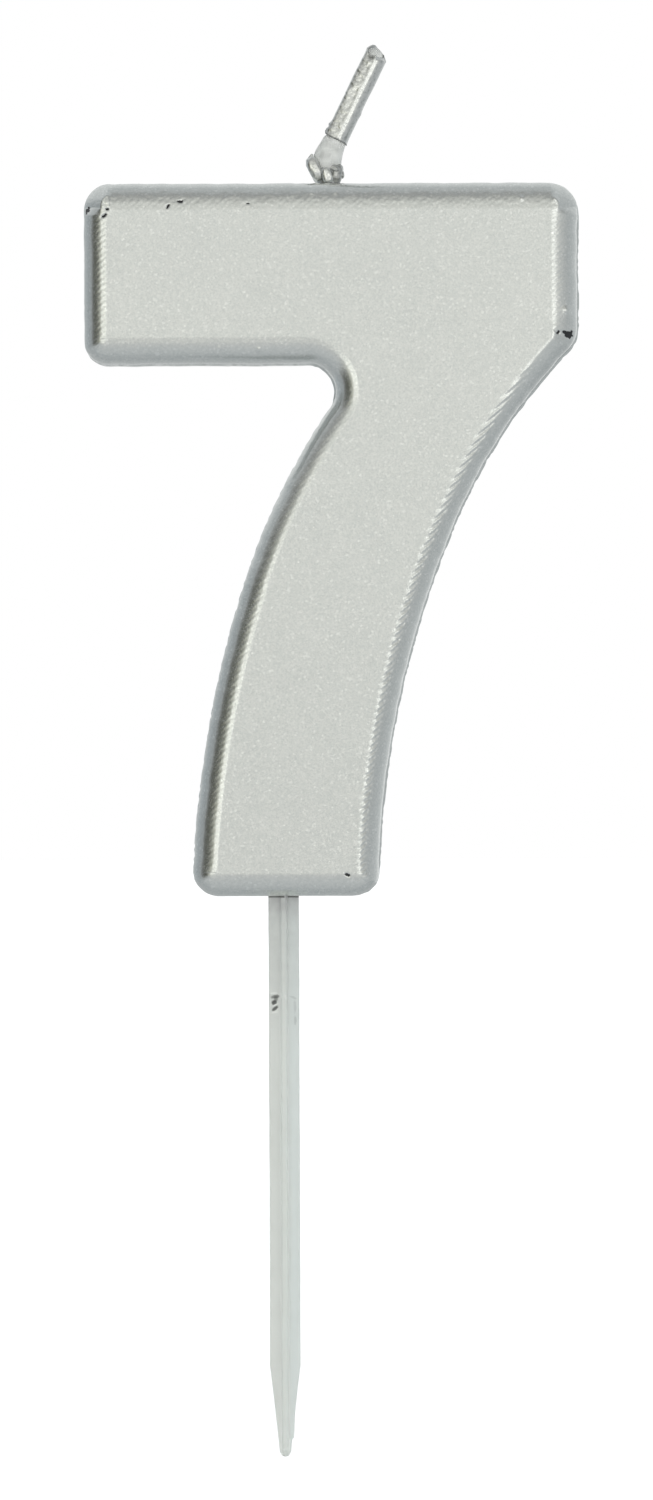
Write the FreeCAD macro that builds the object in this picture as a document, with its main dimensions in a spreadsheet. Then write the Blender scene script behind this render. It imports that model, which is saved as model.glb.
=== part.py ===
import FreeCAD, Part
import math
import os
import re

import Sketcher
from FreeCAD import Placement, Rotation, Vector

# Number birthday candle: a moulded wax numeral 7 with a silver lacquer skin, held on a cake by a
# plastic pick and lit at a primed wick that leaves the top of the bar.
#
# Millimetres. The origin is where the pick's axis meets the plane of the numeral's base. +Z is up,
# +X runs along the bar to the right, and the front face looks to -Y.

DIMENSIONS = {
    # Numeral: a bar along the top, and a leg that sweeps down from its right end.
    "numeral_height": 70.0,
    "numeral_thickness": 9.0,
    "bar_depth": 17.8,
    "bar_left": 19.45,
    "bar_right": 29.3,
    "base_left": 9.0,
    "base_right": 9.5,
    # Each side of the leg is two tangent arcs, whose centres lie to the right of the leg. The lean
    # is the side's angle from upright at the base, in degrees.
    "left_lean": 1.2,
    "left_low_radius": 107.3,
    "left_high_radius": 66.7,
    "left_join_height": 30.9,
    "right_lean": 0.43,
    "right_low_radius": 94.4,
    "right_high_radius": 56.1,
    "right_join_height": 37.0,
    "corner_radius": 2.4,
    "crook_radius": 2.66,
    "shoulder_radius": 2.2,
    # Lacquer skin over the wax, drawn thicker than a real one so that it stays a solid.
    "coat_thickness": 0.12,
    # Pick: a cross section, a tapered point below and a notched tang moulded into the wax.
    "pick_width": 2.85,
    "pick_depth": 2.6,
    "rib_width": 0.6,
    "web_thickness": 0.75,
    "pick_reach": 55.25,
    "taper_length": 9.0,
    "tip_radius": 0.45,
    "tang_length": 17.0,
    "notch_depth": 0.3,
    "notch_height": 1.2,
    "notch_pitch": 4.0,
    "notch_count": 3,
    "first_notch": 4.5,
    # Wick: upright in the wax, then bent to the right and cut off at its lacquered end.
    "wick_offset": 4.6,
    "wick_depth": 14.5,
    "bend_height": 1.0,
    "bend_radius": 6.0,
    "wick_lean": 24.5,
    "wick_rise": 13.0,
    "braid_radius": 0.75,
    "jacket_radius": 1.0,
    "collar_radius": 1.3,
    "collar_length": 2.3,
    "sleeve_radius": 1.13,
    "sleeve_length": 9.4,
    "sleeve_lip": 0.25,
    "root_height": 2.4,
    "root_low_radius": 1.15,
    "root_high_radius": 1.6,
}

ALIAS = re.compile("[a-z]+(_[a-z]+)+")
# A sketch's own origin, and its horizontal and vertical axes, as its constraints name them.
ORIGIN = (-1, 1)
LEVEL_AXIS = -1
UPRIGHT_AXIS = -2
# Faces that meet within this angle, in degrees, run on smoothly.
SMOOTH_ANGLE = 5.0

doc = FreeCAD.newDocument("number_candle")
sheet = doc.addObject("Spreadsheet::Sheet", "size")


def fill_sheet():
    for row, (alias, number) in enumerate(DIMENSIONS.items(), start=1):
        sheet.set("A%d" % row, alias)
        sheet.set("B%d" % row, str(number))
        sheet.setAlias("B%d" % row, alias)
    doc.recompute()


def value(expression):
    return float(sheet.evalExpression(expression))


def bind(obj, key, expression):
    """Drives one property by an expression on the sheet's aliases."""
    obj.setExpression(key, ALIAS.sub(r"size.\g<0>", expression))


# ---- sketches --------------------------------------------------------------------------------

def new_body(name):
    return doc.addObject("PartDesign::Body", name)


def new_sketch(body, name, plane_role):
    sketch = body.newObject("Sketcher::SketchObject", name)
    plane = next(f for f in body.Origin.OriginFeatures if f.Role == plane_role)
    sketch.AttachmentSupport = [(plane, "")]
    sketch.MapMode = "FlatFace"
    return sketch


def line(sketch, start, end):
    return sketch.addGeometry(Part.LineSegment(Vector(*start, 0), Vector(*end, 0)))


def arc(sketch, centre, start, end):
    """An arc that turns anticlockwise about its centre from start to end."""
    spokes = [Vector(*point, 0) - Vector(*centre, 0) for point in (start, end)]
    angles = [math.atan2(spoke.y, spoke.x) for spoke in spokes]
    circle = Part.Circle(Vector(*centre, 0), Vector(0, 0, 1), spokes[0].Length)
    return sketch.addGeometry(Part.ArcOfCircle(circle, *angles))


def constrain(sketch, kind, *where):
    return sketch.addConstraint(Sketcher.Constraint(kind, *where))


def chain(sketch, *joints):
    """Joins ends of neighbouring edges, each joint given as edge, end, edge, end."""
    for joint in joints:
        constrain(sketch, "Coincident", *joint)


def polygon(sketch, corners):
    """A closed run of lines through the corners, joined end to end."""
    edges = [line(sketch, corners[i - 1], corners[i]) for i in range(len(corners))]
    edges = edges[1:] + edges[:1]
    chain(sketch, *((edges[i - 1], 2, edges[i], 1) for i in range(len(edges))))
    return edges


def dimension(sketch, name, kind, *where, by):
    """Adds a dimension with a name, driven by an expression on the sheet."""
    index = constrain(sketch, kind, *where, value(by))
    sketch.renameConstraint(index, name)
    bind(sketch, "Constraints." + name, by)


# ---- numeral ---------------------------------------------------------------------------------

class Side:
    """One side of the leg: a low and a high arc, tangent where they join.

    Both centres lie to the right of the leg, so a skin takes the left side nearer to them and the
    right side further away. All sizes are expressions on the sheet.
    """

    def __init__(self, name, sign, skin):
        lean = "sin(%s_lean)" % name
        grow = "+" if sign > 0 else "-"
        names = {"name": name, "sign": sign, "grow": grow, "skin": skin, "lean": lean}
        self.name = name
        self.low_radius = "%(name)s_low_radius %(grow)s %(skin)s" % names
        self.high_radius = "%(name)s_high_radius %(grow)s %(skin)s" % names
        self.low_x = "%(sign)d * base_%(name)s + %(name)s_low_radius * cos(%(name)s_lean)" % names
        self.low_drop = "%(name)s_low_radius * %(lean)s" % names
        self.high_z = ("%(name)s_join_height - %(name)s_high_radius *"
                       " (%(lean)s + %(name)s_join_height / %(name)s_low_radius)") % names

    def draw(self, sketch, foot_z, top_z):
        """Draws the two arcs near their solved places. Returns both, and their end points."""
        low_r, high_r = value(self.low_radius), value(self.high_radius)
        low_hub = Vector(value(self.low_x), -value(self.low_drop))
        sine = (value(self.high_z) - low_hub.y) / (low_r - high_r)
        outward = Vector(-math.sqrt(1 - sine ** 2), sine)
        join = low_hub + outward * low_r
        high_hub = join - outward * high_r
        foot = (low_hub.x - math.sqrt(low_r ** 2 - (foot_z - low_hub.y) ** 2), foot_z)
        top = (high_hub.x - math.sqrt(high_r ** 2 - (top_z - high_hub.y) ** 2), top_z)
        low_arc = arc(sketch, (low_hub.x, low_hub.y), (join.x, join.y), foot)
        high_arc = arc(sketch, (high_hub.x, high_hub.y), top, (join.x, join.y))
        constrain(sketch, "Tangent", low_arc, 1, high_arc, 2)
        return low_arc, high_arc, foot, top

    def size(self, sketch, low_arc, high_arc):
        name = self.name
        dimension(sketch, name + "_low_radius", "Radius", low_arc, by=self.low_radius)
        dimension(sketch, name + "_high_radius", "Radius", high_arc, by=self.high_radius)
        dimension(sketch, name + "_low_x", "DistanceX", *ORIGIN, low_arc, 3, by=self.low_x)
        dimension(sketch, name + "_low_drop", "DistanceY", low_arc, 3, *ORIGIN, by=self.low_drop)
        dimension(sketch, name + "_high_z", "DistanceY", *ORIGIN, high_arc, 3, by=self.high_z)


def numeral_outline(body, skin):
    """The numeral's outline with sharp corners, drawn in from its full size by the skin."""
    sketch = new_sketch(body, body.Name + "_outline", "XZ_Plane")
    top = "numeral_height - " + skin
    underside = "numeral_height - bar_depth + " + skin
    left_end, right_end = "bar_left - " + skin, "bar_right - " + skin
    hip_guess = "right_join_height + right_high_radius / 3"
    left, right = Side("left", -1, skin), Side("right", 1, skin)
    left_low, left_high, left_foot, crook = left.draw(sketch, value(skin), value(underside))
    right_low, right_high, right_foot, hip = right.draw(sketch, value(skin), value(hip_guess))

    top_left, top_right = (-value(left_end), value(top)), (value(right_end), value(top))
    bar_corner = (-value(left_end), value(underside))
    base_edge = line(sketch, left_foot, right_foot)
    right_edge = line(sketch, hip, top_right)
    top_edge = line(sketch, top_right, top_left)
    left_edge = line(sketch, top_left, bar_corner)
    bar_edge = line(sketch, bar_corner, crook)
    chain(
        sketch,
        (base_edge, 2, right_low, 2),
        (right_high, 1, right_edge, 1),
        (right_edge, 2, top_edge, 1),
        (top_edge, 2, left_edge, 1),
        (left_edge, 2, bar_edge, 1),
        (bar_edge, 2, left_high, 1),
        (left_low, 2, base_edge, 1),
    )
    for level in (base_edge, top_edge, bar_edge):
        constrain(sketch, "Horizontal", level)
    for upright in (right_edge, left_edge):
        constrain(sketch, "Vertical", upright)
    dimension(sketch, "base_height", "DistanceY", *ORIGIN, base_edge, 1, by=skin)
    dimension(sketch, "top_height", "DistanceY", *ORIGIN, top_edge, 1, by=top)
    dimension(sketch, "bar_height", "DistanceY", *ORIGIN, bar_edge, 1, by=underside)
    dimension(sketch, "right_reach", "DistanceX", *ORIGIN, right_edge, 2, by=right_end)
    dimension(sketch, "left_reach", "DistanceX", left_edge, 1, *ORIGIN, by=left_end)
    left.size(sketch, left_low, left_high)
    right.size(sketch, right_low, right_high)
    return sketch


def corner_edges(shape):
    """Names of the edges through the thickness where two walls meet at an angle."""
    names = []
    for number, edge in enumerate(shape.Edges, start=1):
        ends = [vertex.Point for vertex in edge.Vertexes]
        across = len(ends) == 2 and abs(ends[0].y - ends[1].y) > value("numeral_thickness") / 2
        if across and not smooth_edge(shape, edge):
            names.append("Edge%d" % number)
    return names


def smooth_edge(shape, edge):
    """Whether the two faces that share an edge are tangent there."""
    point = edge.CenterOfMass
    normals = []
    for face in shape.ancestorsOfType(edge, Part.Face):
        normals.append(face.normalAt(*face.Surface.parameter(point)))
    return normals[0].getAngle(normals[1]) < math.radians(SMOOTH_ANGLE)


def broad_faces(shape):
    """Names of the flat front and back faces."""
    names = []
    for number, face in enumerate(shape.Faces, start=1):
        if not isinstance(face.Surface, Part.Plane):
            continue
        tilt = face.Surface.Axis.getAngle(Vector(0, 1, 0))
        if abs(math.sin(tilt)) < math.sin(math.radians(SMOOTH_ANGLE)):
            names.append("Face%d" % number)
    return names


def round_off(body, name, base, edges, radius):
    fillet = body.newObject("PartDesign::Fillet", name)
    fillet.Base = (base, edges)
    fillet.UseAllEdges = False
    bind(fillet, "Radius", radius)
    doc.recompute()
    return fillet


def numeral(name, skin):
    """The rounded numeral, smaller all round by the skin."""
    body = new_body(name)
    outline = numeral_outline(body, skin)
    pad = body.newObject("PartDesign::Pad", name + "_pad")
    pad.Profile = outline
    pad.SideType = "Symmetric"
    bind(pad, "Length", "numeral_thickness - 2 * " + skin)
    doc.recompute()

    crook_zone = Vector(value("bar_left") / 2, 0, value("numeral_height - bar_depth"))
    corners = corner_edges(pad.Shape)
    nearest = min(corners, key=lambda e: (pad.Shape.getElement(e).CenterOfMass - crook_zone).Length)
    crook = round_off(body, name + "_crook", pad, [nearest], "crook_radius + " + skin)
    corners = round_off(body, name + "_corners", crook, corner_edges(crook.Shape),
                        "corner_radius - " + skin)
    round_off(body, name + "_shoulders", corners, broad_faces(corners.Shape),
              "shoulder_radius - " + skin)
    return body


# ---- pick ------------------------------------------------------------------------------------

def centred_plate(body, name, width, depth):
    """A plate along the whole pick, with a rectangular section centred on the axis."""
    sketch = new_sketch(body, name + "_section", "XY_Plane")
    bind(sketch, "AttachmentOffset.Base.z", "-pick_reach")
    x, y = value(width) / 2, value(depth) / 2
    edges = polygon(sketch, [(-x, -y), (x, -y), (x, y), (-x, y)])
    for edge, direction in zip(edges, ("Horizontal", "Vertical", "Horizontal", "Vertical")):
        constrain(sketch, direction, edge)
    constrain(sketch, "Symmetric", edges[0], 1, edges[2], 1, *ORIGIN)
    dimension(sketch, "width", "DistanceX", edges[0], 1, edges[0], 2, by=width)
    dimension(sketch, "depth", "DistanceY", edges[1], 1, edges[1], 2, by=depth)
    plate = body.newObject("PartDesign::Pad", name)
    plate.Profile = sketch
    bind(plate, "Length", "pick_reach + tang_length")
    doc.recompute()


def point_outline(body):
    """What is turned off the bar's lower end: all outside a taper that ends in a round tip."""
    sketch = new_sketch(body, "pick_point", "XZ_Plane")
    reach, tip, taper = value("pick_reach"), value("tip_radius"), value("taper_length")
    wide, clear = value("pick_width / 2"), value("pick_width")
    hub = (0, tip - reach)
    brow = (tip, tip - reach)
    round_tip = arc(sketch, hub, (0, -reach), brow)
    flank = line(sketch, brow, (clear, taper * clear / wide - reach))
    drop = line(sketch, (clear, taper * clear / wide - reach), (clear, -reach - clear))
    floor = line(sketch, (clear, -reach - clear), (0, -reach - clear))
    axis = line(sketch, (0, -reach - clear), (0, -reach))
    constrain(sketch, "Tangent", round_tip, 2, flank, 1)
    chain(sketch, (flank, 2, drop, 1), (drop, 2, floor, 1), (floor, 2, axis, 1),
          (axis, 2, round_tip, 1))
    constrain(sketch, "Vertical", drop)
    constrain(sketch, "Horizontal", floor)
    constrain(sketch, "PointOnObject", axis, 1, UPRIGHT_AXIS)
    constrain(sketch, "PointOnObject", axis, 2, UPRIGHT_AXIS)
    constrain(sketch, "PointOnObject", round_tip, 3, UPRIGHT_AXIS)
    shoulder = sketch.addGeometry(Part.Point(Vector(wide, taper - reach, 0)))
    sketch.toggleConstruction(shoulder)
    constrain(sketch, "PointOnObject", shoulder, 1, flank)
    dimension(sketch, "shoulder_x", "DistanceX", *ORIGIN, shoulder, 1, by="pick_width / 2")
    dimension(sketch, "shoulder_z", "DistanceY", shoulder, 1, *ORIGIN,
              by="pick_reach - taper_length")
    dimension(sketch, "tip", "Radius", round_tip, by="tip_radius")
    dimension(sketch, "reach", "DistanceY", axis, 2, *ORIGIN, by="pick_reach")
    dimension(sketch, "clear_x", "DistanceX", *ORIGIN, drop, 1, by="pick_width")
    dimension(sketch, "clear_z", "DistanceY", floor, 1, *ORIGIN, by="pick_reach + pick_width")
    return sketch


def notch_outline(body):
    """A shallow vee round the tang, which the wax flows into."""
    sketch = new_sketch(body, "pick_notch", "XZ_Plane")
    inner, outer = value("pick_width / 2 - notch_depth"), value("pick_width")
    middle, half = value("first_notch"), value("notch_height / 2")
    edges = polygon(sketch, [(inner, middle), (outer, middle + half), (outer, middle - half)])
    constrain(sketch, "Vertical", edges[1])
    dimension(sketch, "bottom", "DistanceX", *ORIGIN, edges[0], 1,
              by="pick_width / 2 - notch_depth")
    dimension(sketch, "middle", "DistanceY", *ORIGIN, edges[0], 1, by="first_notch")
    dimension(sketch, "outside", "DistanceX", *ORIGIN, edges[1], 1, by="pick_width")
    dimension(sketch, "upper", "DistanceY", edges[0], 1, edges[1], 1, by="notch_height / 2")
    dimension(sketch, "lower", "DistanceY", edges[1], 2, edges[0], 1, by="notch_height / 2")
    return sketch


def turn_off(body, name, outline):
    """Removes a ring of the outline's section about the upright axis, and checks that it cut."""
    before = body.Shape.Volume
    groove = body.newObject("PartDesign::Groove", name)
    groove.Profile = outline
    groove.ReferenceAxis = (outline, ["V_Axis"])
    groove.Angle = 360
    doc.recompute()
    if not groove.Shape.Volume < before:
        raise RuntimeError(name + " removed nothing")
    return groove


def make_pick():
    body = new_body("pick_body")
    centred_plate(body, "pick_web", "pick_width", "web_thickness")
    centred_plate(body, "pick_rib", "rib_width", "pick_depth")
    turn_off(body, "pick_taper", point_outline(body))
    notch_sketch = notch_outline(body)
    notch = turn_off(body, "pick_notch_ring", notch_sketch)
    row = body.newObject("PartDesign::LinearPattern", "pick_notches")
    row.Originals = [notch]
    row.Direction = (notch_sketch, ["V_Axis"])
    bind(row, "Length", "notch_pitch * (notch_count - 1)")
    bind(row, "Occurrences", "notch_count")
    body.Tip = row
    doc.recompute()
    return body


# ---- wick ------------------------------------------------------------------------------------

def wick_path(body):
    """Upright from the wick's buried end, then round the bend and up the leaning stub."""
    sketch = new_sketch(body, body.Name + "_path", "XZ_Plane")
    lean, bend = math.radians(value("wick_lean")), value("bend_radius")
    x, bend_z = value("wick_offset"), value("numeral_height + bend_height")
    foot = (x, value("numeral_height - wick_depth"))
    hub = (x + bend, bend_z)
    leave = (hub[0] - bend * math.cos(lean), hub[1] + bend * math.sin(lean))
    top_z = value("numeral_height + wick_rise")
    top = (leave[0] + (top_z - leave[1]) * math.tan(lean), top_z)
    upright = line(sketch, foot, (x, bend_z))
    turn = arc(sketch, hub, leave, (x, bend_z))
    stub = line(sketch, leave, top)
    constrain(sketch, "Vertical", upright)
    constrain(sketch, "Tangent", upright, 2, turn, 2)
    constrain(sketch, "Tangent", turn, 1, stub, 1)
    dimension(sketch, "offset", "DistanceX", *ORIGIN, upright, 1, by="wick_offset")
    dimension(sketch, "foot", "DistanceY", *ORIGIN, upright, 1, by="numeral_height - wick_depth")
    dimension(sketch, "bend_z", "DistanceY", *ORIGIN, turn, 2, by="numeral_height + bend_height")
    dimension(sketch, "bend", "Radius", turn, by="bend_radius")
    dimension(sketch, "top", "DistanceY", *ORIGIN, stub, 2, by="numeral_height + wick_rise")
    dimension(sketch, "leave_z", "DistanceY", turn, 2, turn, 1, by="bend_radius * sin(wick_lean)")
    return sketch


def wick_rod(name, radius):
    """A solid rod along the wick's whole path."""
    body = new_body(name)
    ring = new_sketch(body, name + "_section", "XY_Plane")
    bind(ring, "AttachmentOffset.Base.z", "numeral_height - wick_depth")
    circle = ring.addGeometry(
        Part.Circle(Vector(value("wick_offset"), 0, 0), Vector(0, 0, 1), value(radius)))
    dimension(ring, "offset", "DistanceX", *ORIGIN, circle, 3, by="wick_offset")
    constrain(ring, "PointOnObject", circle, 3, LEVEL_AXIS)
    dimension(ring, "radius", "Radius", circle, by=radius)
    path = wick_path(body)
    rod = body.newObject("PartDesign::AdditivePipe", name + "_rod")
    rod.Profile = ring
    rod.Spine = (path, ["Edge%d" % n for n in range(1, len(path.Geometry) + 1)])
    doc.recompute()
    return body


def stub_end():
    """The centre of the wick's cut end, and the turn that lays an upright part along the stub."""
    lean, bend = math.radians(value("wick_lean")), value("bend_radius")
    bend_x = value("wick_offset") + bend * (1 - math.cos(lean))
    bend_z = value("numeral_height + bend_height") + bend * math.sin(lean)
    top_z = value("numeral_height + wick_rise")
    centre = Vector(bend_x + (top_z - bend_z) * math.tan(lean), 0, top_z)
    return centre, Rotation(Vector(0, 1, 0), value("wick_lean"))


def stub_cylinder(name, radius, length, below):
    """A cylinder along the stub, whose upper end is the given distance below the cut end."""
    centre, turn = stub_end()
    cylinder = doc.addObject("Part::Cylinder", name)
    bind(cylinder, "Radius", radius)
    bind(cylinder, "Height", length)
    drop = turn.multVec(Vector(0, 0, -value(below) - value(length)))
    cylinder.Placement = Placement(centre + drop, turn)
    return cylinder


def fuse(name, *shapes):
    fusion = doc.addObject("Part::MultiFuse", name)
    fusion.Shapes = list(shapes)
    return fusion


def cut(name, base, tool):
    part = doc.addObject("Part::Cut", name)
    part.Base = base
    part.Tool = tool
    return part


def make_wick():
    """The wick's pieces, and the outer form of its waxed core."""
    braid = wick_rod("braid_body", "braid_radius")
    collar = stub_cylinder("collar", "collar_radius", "collar_length", "sleeve_length")
    form = fuse("jacket_form", wick_rod("jacket_rod", "jacket_radius"), collar)
    jacket = cut("jacket", form, braid)
    tube = stub_cylinder("sleeve_form", "sleeve_radius", "sleeve_length + sleeve_lip",
                         "-sleeve_lip")
    bore = stub_cylinder("sleeve_bore", "jacket_radius", "sleeve_length + 2 * sleeve_lip",
                         "-2 * sleeve_lip")
    root_form = doc.addObject("Part::Cone", "root_form")
    bind(root_form, "Radius1", "root_low_radius")
    bind(root_form, "Radius2", "root_high_radius")
    bind(root_form, "Height", "root_height")
    root_form.Placement = Placement(
        Vector(value("wick_offset"), 0, value("numeral_height")), Rotation())
    pieces = {
        "wick_braid": braid,
        "wick_wax_jacket": jacket,
        "wick_lacquer_sleeve": cut("sleeve", tube, bore),
        "wick_lacquer_root": cut("root", root_form, form),
    }
    return pieces, form


# ---- the whole candle ------------------------------------------------------------------------

def check():
    """Stops if any object failed, or a sub-part's shape is missing or broken."""
    for obj in doc.Objects:
        if "Invalid" in obj.State or "Error" in obj.State:
            raise RuntimeError("%s failed: %s" % (obj.Name, obj.State))
    for name, obj in parts.items():
        if obj.Shape.isNull() or not obj.Shape.isValid() or obj.Shape.Volume <= 0:
            raise RuntimeError(name + " has no valid shape")


def write():
    os.makedirs("parts", exist_ok=True)
    for name, obj in parts.items():
        obj.Label = name
        obj.Shape.exportStep("parts/%s.step" % name)
        print("%-20s %9.2f mm3  %d solid" % (name, obj.Shape.Volume, len(obj.Shape.Solids)))


fill_sheet()
pick = make_pick()
wick, wick_form = make_wick()
outside = numeral("numeral_outside", "0")
inside = numeral("numeral_inside", "coat_thickness")
inserts = fuse("inserts", pick, wick_form)
parts = {
    "wax_core": cut("core", inside, inserts),
    "silver_coat": cut("coat", outside, fuse("coat_tools", inside, inserts)),
    "pick": pick,
    **wick,
}
doc.recompute()
check()
write()
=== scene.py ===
import math

import bpy
import numpy as np
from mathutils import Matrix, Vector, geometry


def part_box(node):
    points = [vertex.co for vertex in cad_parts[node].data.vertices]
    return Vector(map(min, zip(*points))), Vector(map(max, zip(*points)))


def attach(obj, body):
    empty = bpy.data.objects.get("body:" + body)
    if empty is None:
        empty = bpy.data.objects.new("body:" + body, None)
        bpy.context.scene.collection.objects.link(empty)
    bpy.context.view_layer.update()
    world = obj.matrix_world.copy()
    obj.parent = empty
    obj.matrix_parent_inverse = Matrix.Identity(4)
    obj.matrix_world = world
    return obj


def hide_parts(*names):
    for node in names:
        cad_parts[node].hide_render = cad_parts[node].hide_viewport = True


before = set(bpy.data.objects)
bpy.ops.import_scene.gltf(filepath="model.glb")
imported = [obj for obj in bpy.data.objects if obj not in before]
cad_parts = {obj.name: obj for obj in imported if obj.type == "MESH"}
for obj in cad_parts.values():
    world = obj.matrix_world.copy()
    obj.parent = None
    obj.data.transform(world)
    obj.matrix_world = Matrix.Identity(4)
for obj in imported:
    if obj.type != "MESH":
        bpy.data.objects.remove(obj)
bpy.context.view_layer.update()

# Number birthday candle: a silver-lacquered wax numeral 7 on a translucent pick, with a bent wick.
#
# Shapes are worked out in millimetres in the CAD frame (X right, Z up, front face to -Y) and are
# turned into metres when a mesh is made.

MM = 0.001


def node_box(name):
    """A CAD node's lowest and highest corners, in millimetres."""
    low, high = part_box(name)
    return np.array(low) / MM, np.array(high) / MM


COAT_LOW, COAT_HIGH = node_box("silver_coat")
PICK_LOW, PICK_HIGH = node_box("pick")
BRAID_LOW_Z = node_box("wick_braid")[0][2]


# ---- smooth steps and noise ----

def fade(edge_low, edge_high, x):
    """0 below the first edge, 1 above the second, smooth between."""
    t = np.clip((np.asarray(x, float) - edge_low) / (edge_high - edge_low), 0.0, 1.0)
    return t * t * (3.0 - 2.0 * t)


def blend(a, b, share):
    return a + (b - a) * share


def cosine_and_sine(degrees):
    return math.cos(math.radians(degrees)), math.sin(math.radians(degrees))


def band(rise_low, rise_high, fall_low, fall_high, x):
    """1 between the rise and the fall, 0 beyond them."""
    return fade(rise_low, rise_high, x) * (1 - fade(fall_low, fall_high, x))


def hump(x, centre, half):
    """1 at the centre, falling away smoothly to both sides."""
    return np.exp(-((x - centre) / half) ** 2)


# Factors that scatter the whole numbers given to chance().
STIR, STIR_MORE = (12.9898, 78.233, 37.719), 43758.5453


def chance(*whole):
    """A repeatable value from 0 to 1 for each set of whole numbers."""
    total = np.zeros(np.broadcast(*whole).shape)
    for n, factor in zip(whole, STIR):
        total = total + np.asarray(n, float) * factor
    return np.mod(np.sin(total) * STIR_MORE, 1.0)


def ripple(x, seed):
    """Smooth noise along a line, from -1 to 1, with a grain of 1."""
    x = np.asarray(x, float)
    cell = np.floor(x)
    return blend(chance(cell, seed), chance(cell + 1, seed), fade(0, 1, x - cell)) * 2 - 1


def dapple(x, y, seed):
    """Smooth noise over a plane, from -1 to 1, with a grain of 1."""
    x, y = np.asarray(x, float), np.asarray(y, float)
    cx, cy = np.floor(x), np.floor(y)
    fx, fy = fade(0, 1, x - cx), fade(0, 1, y - cy)
    near = blend(chance(cx, cy, seed), chance(cx + 1, cy, seed), fx)
    far = blend(chance(cx, cy + 1, seed), chance(cx + 1, cy + 1, seed), fx)
    return blend(near, far, fy) * 2 - 1


# ---- meshes ----

def make_piece(name, points, faces, material, slot, node):
    """A smoothly shaded piece on the root, from points in millimetres, in place of a CAD node."""
    mesh = bpy.data.meshes.new(name)
    mesh.from_pydata((np.asarray(points, float) * MM).tolist(), [], faces)
    mesh.validate()
    mesh.update()
    mesh.shade_smooth()
    mesh.materials.append(material)
    piece = bpy.data.objects.new(name, mesh)
    bpy.context.scene.collection.objects.link(piece)
    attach(piece, "root")
    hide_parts(node)
    return piece


def paint(piece, name, values):
    """Stores one number per point, for the material to read."""
    layer = piece.data.attributes.new(name, "FLOAT", "POINT")
    layer.data.foreach_set("value", np.asarray(values, np.float32))


def ring_faces(rings, count, closed_along=False):
    """Quads between rings of equal count, each ring following the last."""
    faces = []
    for ring in range(rings if closed_along else rings - 1):
        a = ring * count
        b = (ring + 1) % rings * count
        for i in range(count):
            j = (i + 1) % count
            faces.append((a + i, a + j, b + j, b + i))
    return faces


def turned_over(faces):
    return [tuple(reversed(face)) for face in faces]


def closed_tube(rings):
    """Points and faces of a tube with a cap at each end."""
    rings = np.asarray(rings)
    count = rings.shape[1]
    last = (len(rings) - 1) * count
    caps = [tuple(range(count)), tuple(reversed(range(last, last + count)))]
    return rings.reshape(-1, 3), turned_over(ring_faces(len(rings), count)) + caps


def joined(shapes):
    """The points and faces of several shapes as one."""
    points, faces, first = [], [], 0
    for more, more_faces in shapes:
        points.append(more)
        faces += [tuple(first + i for i in face) for face in more_faces]
        first += len(more)
    return np.concatenate(points), faces


# ---- the numeral's outline ----

BAR_DEPTH = 17.8
BASE_LEFT, BASE_RIGHT = -9.0, 9.5
# Each side of the leg is two arcs: its lean at the base, the low and the high radius, the height where
# they join, its X at the base, and 1 where the body is inside the arcs or -1 where it is outside.
LEFT_SIDE = (math.radians(1.2), 107.3, 66.7, 30.9, BASE_LEFT, 1)
RIGHT_SIDE = (math.radians(0.43), 94.4, 56.1, 37.0, BASE_RIGHT, -1)
CORNER_R, CROOK_R = 2.4, 2.66
TOP_LEFT_R, TOP_RIGHT_R, HIP_R = 2.72, 3.01, 3.37
SPACING = 0.1


class Straight:
    """A straight edge through a point, with the body on the left of its direction."""

    def __init__(self, point, direction):
        self.point = np.array(point, float)
        self.direction = np.array(direction, float)
        self.outward = np.array((self.direction[1], -self.direction[0]))

    def inset(self, depth):
        return Straight(self.point - self.outward * depth, self.direction)

    def foot(self, point):
        return self.point + self.direction * ((point - self.point) @ self.direction)

    def sample(self, start, end):
        count = max(2, int(np.linalg.norm(end - start) / SPACING))
        share = np.arange(count)[:, None] / count
        return start + (end - start) * share, np.repeat(self.outward[None], count, axis=0)


class Round:
    """A round edge. bulge is 1 where the body is inside the circle and -1 where it is outside."""

    def __init__(self, centre, radius, bulge):
        self.centre, self.radius, self.bulge = np.array(centre, float), radius, bulge

    def inset(self, depth):
        return Round(self.centre, self.radius - self.bulge * depth, self.bulge)

    def foot(self, point):
        spoke = point - self.centre
        return self.centre + spoke / np.linalg.norm(spoke) * self.radius

    def sample(self, start, end):
        a, b = (math.atan2(p[1] - self.centre[1], p[0] - self.centre[0]) for p in (start, end))
        turn = (b - a) * self.bulge % math.tau * self.bulge
        count = max(2, int(abs(turn) * self.radius / SPACING))
        angle = a + turn * np.arange(count) / count
        spokes = np.stack([np.cos(angle), np.sin(angle)], axis=1)
        return self.centre + spokes * self.radius, spokes * self.bulge


def cross_straight(edge, other, near):
    """Where a straight edge meets another edge, at the crossing nearest to a point."""
    if isinstance(other, Straight):
        gap = other.point - edge.point
        along = gap @ other.outward / (edge.direction @ other.outward)
        return edge.point + edge.direction * along
    middle = edge.foot(other.centre)
    half = math.sqrt(other.radius ** 2 - np.sum((middle - other.centre) ** 2))
    ends = [middle + edge.direction * half * side for side in (-1, 1)]
    return min(ends, key=lambda end: np.linalg.norm(end - near))


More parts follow.
